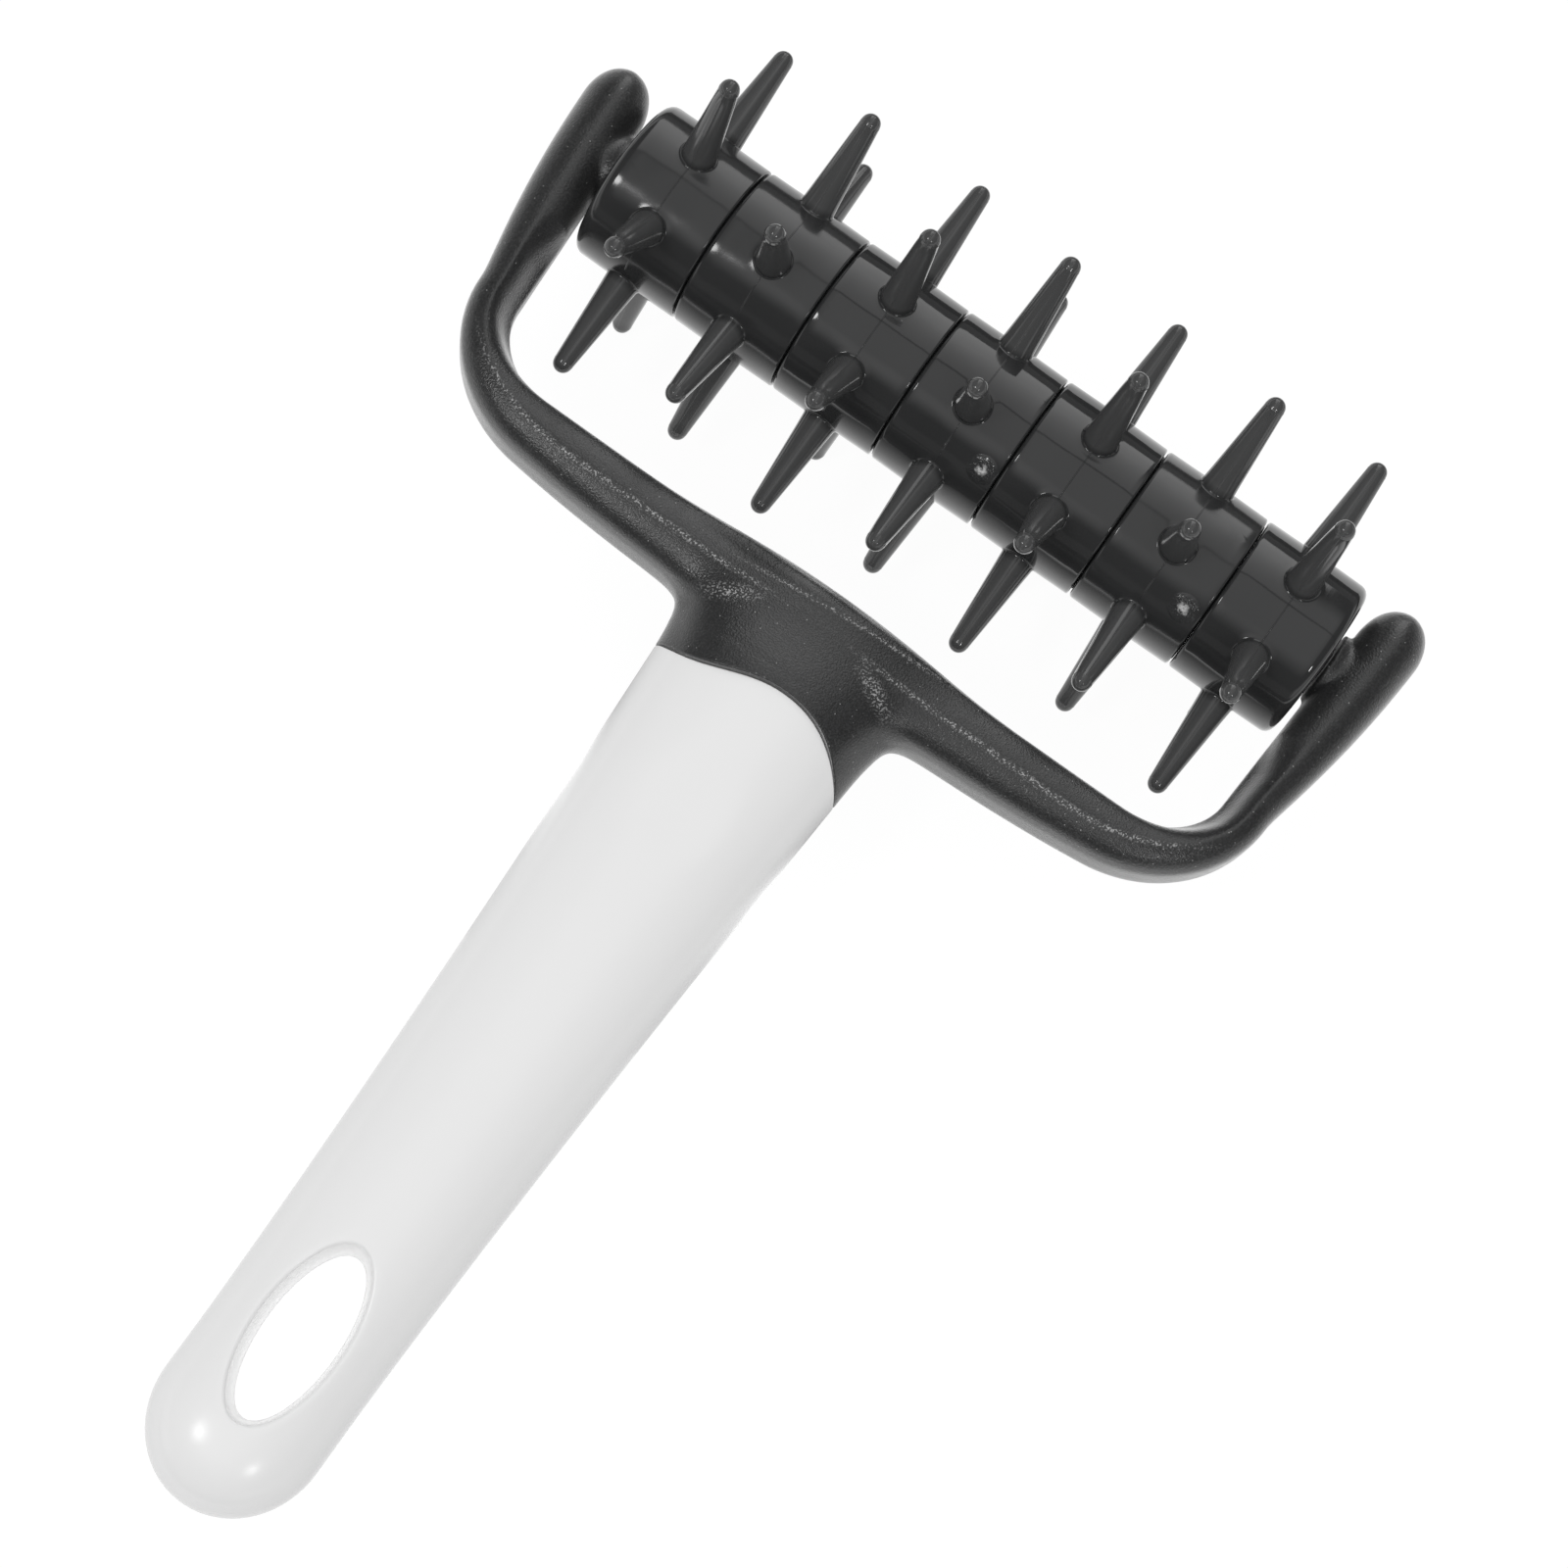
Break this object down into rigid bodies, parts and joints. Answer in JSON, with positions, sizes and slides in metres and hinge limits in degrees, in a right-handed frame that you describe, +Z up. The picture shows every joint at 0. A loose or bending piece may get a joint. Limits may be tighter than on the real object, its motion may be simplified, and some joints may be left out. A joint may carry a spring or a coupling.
{
  "type": "dough docker",
  "caption": "Hand-held dough docker: forked yoke on a tapered handle, with a free-turning roller of keyed rings that carry long tapered pins.",
  "frame": {"origin": "centre of the tool's outline on the table that it lies on", "axes": "+X along the roller, +Y from the handle towards the roller, +Z up from the table"},
  "size_m": [0.151, 0.2212, 0.0581],
  "materials": {
    "yoke": "fine moulded grain",
    "handle": "smooth satin gloss",
    "axle": "smooth",
    "ring": "polished, with moulding lines"
  },
  "bodies": {
    "frame": {"yoke": "yoke", "handle_grip": "handle"},
    "roller": {"axle": "axle", "roller_wheel_1": "ring", "roller_wheel_2": "ring", "roller_wheel_3": "ring", "roller_wheel_4": "ring", "roller_wheel_5": "ring", "roller_wheel_6": "ring", "roller_wheel_7": "ring"}
  },
  "joints": [
    {"name": "roller_spin", "type": "hinge", "parent": "frame", "child": "roller", "pos_m": [0, 0.08153, 0.02903], "axis": [1, 0, 0], "continuous": true}
  ]
}
